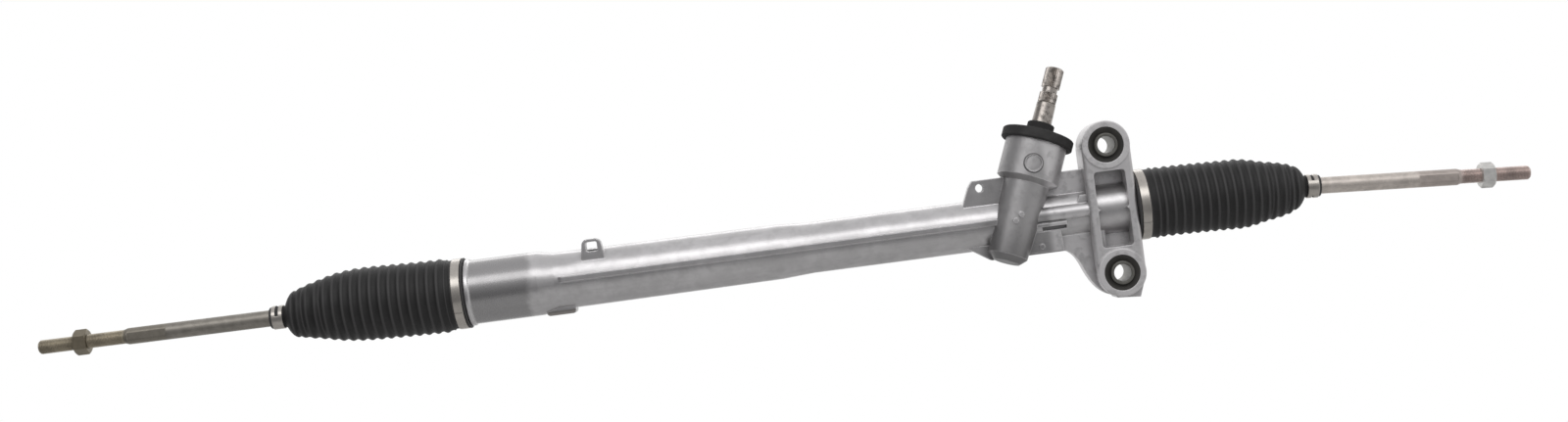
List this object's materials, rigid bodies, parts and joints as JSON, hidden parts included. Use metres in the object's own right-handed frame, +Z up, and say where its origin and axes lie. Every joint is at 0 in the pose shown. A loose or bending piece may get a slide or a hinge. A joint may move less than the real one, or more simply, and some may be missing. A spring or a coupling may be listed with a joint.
{
  "type": "steering rack",
  "caption": "Manual rack-and-pinion steering gear with a cast housing, pleated boots, a serrated input shaft and inner tie rods on ball joints.",
  "frame": {"origin": "on the rack bar's axis, midway between the bores of the two mounting bushes", "axes": "+X along the rack bar from the left tie rod to the right one, +Y through the mounting bushes away from the pinion side, +Z up towards the upper bush and the input shaft"},
  "size_m": [1.2753, 0.0901, 0.2027],
  "materials": {
    "cast_aluminium": "bare die-cast aluminium, fine grain, machined at the ends and bores",
    "bush_rubber": "moulded black rubber, matte",
    "sleeve_steel": "zinc-plated steel tube",
    "polymer": "natural acetal",
    "bearing_steel": "ground bearing steel",
    "spring_steel": "oiled spring steel",
    "seal_rubber": "nitrile rubber",
    "cover_plastic": "charcoal moulded rubber, satin",
    "pinion_steel": "ground alloy steel with a rolled serration",
    "rack_steel": "ground steel, greased",
    "guide_alloy": "sintered alloy",
    "plug_steel": "zinc-plated steel",
    "left_rod_zinc": "dull olive-grey zinc plating",
    "right_rod_zinc": "pale zinc plating",
    "nut_zinc": "zinc-plated steel",
    "boot_rubber": "moulded black rubber, satin",
    "clamp_steel": "stainless strip"
  },
  "bodies": {
    "housing": {"rack_housing": "cast_aluminium", "upper_bush_rubber": "bush_rubber", "upper_bush_sleeve": "sleeve_steel", "lower_bush_rubber": "bush_rubber", "lower_bush_sleeve": "sleeve_steel", "rack_bush": "polymer", "bearing_outer_race": "bearing_steel", "bearing_balls": "bearing_steel", "bearing_snap_ring": "spring_steel", "pinion_oil_seal": "seal_rubber", "dust_cover": "cover_plastic", "needle_shell": "bearing_steel", "needle_rollers": "bearing_steel", "rack_guide": "guide_alloy", "rack_guide_liner": "polymer", "rack_guide_ring": "seal_rubber", "rack_guide_spring": "spring_steel", "rack_guide_plug": "plug_steel", "rack_guide_lock_nut": "plug_steel", "left_boot": "boot_rubber", "left_large_clamp": "clamp_steel", "right_boot": "boot_rubber", "right_large_clamp": "clamp_steel"},
    "rack": {"rack_bar": "rack_steel", "left_socket": "rack_steel", "left_claw_washer": "spring_steel", "right_socket": "rack_steel", "right_claw_washer": "spring_steel"},
    "pinion": {"pinion_shaft": "pinion_steel", "bearing_inner_race": "bearing_steel", "pinion_circlip": "spring_steel"},
    "left_ball_seat": {"left_ball_seat": "polymer"},
    "left_tie_rod": {"left_tie_rod": "left_rod_zinc", "left_jam_nut": "nut_zinc", "left_small_clamp": "clamp_steel"},
    "right_ball_seat": {"right_ball_seat": "polymer"},
    "right_tie_rod": {"right_tie_rod": "right_rod_zinc", "right_jam_nut": "nut_zinc", "right_small_clamp": "clamp_steel"}
  },
  "joints": [
    {"name": "rack_slide", "type": "slide", "parent": "housing", "child": "rack", "axis": [1, 0, 0], "range_m": [-0.062, 0.062], "deforming": ["left_boot", "right_boot"]},
    {"name": "pinion_spin", "type": "hinge", "parent": "housing", "child": "pinion", "pos_m": [-0.0798, -0.01571, 0.00221], "axis": [0.3795, 0.1288, 0.9162], "range_deg": [-507.6, 507.6]},
    {"name": "left_rod_rise", "type": "hinge", "parent": "rack", "child": "left_ball_seat", "pos_m": [-0.65, 0, 0], "axis": [0, 1, 0], "range_deg": [-14.7, 15.3], "deforming": ["left_boot"]},
    {"name": "left_rod_sweep", "type": "hinge", "parent": "left_ball_seat", "child": "left_tie_rod", "pos_m": [-0.65, 0, 0], "axis": [0.0052, 0, 1], "range_deg": [-15, 15], "deforming": ["left_boot"]},
    {"name": "right_rod_rise", "type": "hinge", "parent": "rack", "child": "right_ball_seat", "pos_m": [0.122, 0, 0], "axis": [0, 1, 0], "range_deg": [-18.9, 11.1], "deforming": ["right_boot"]},
    {"name": "right_rod_sweep", "type": "hinge", "parent": "right_ball_seat", "child": "right_tie_rod", "pos_m": [0.122, 0, 0], "axis": [0.068, 0, 0.9977], "range_deg": [-15, 15], "deforming": ["right_boot"]}
  ],
  "couplings": [
    {"joint": "pinion_spin", "follows": "rack_slide", "rad_per_m": -142.86}
  ]
}
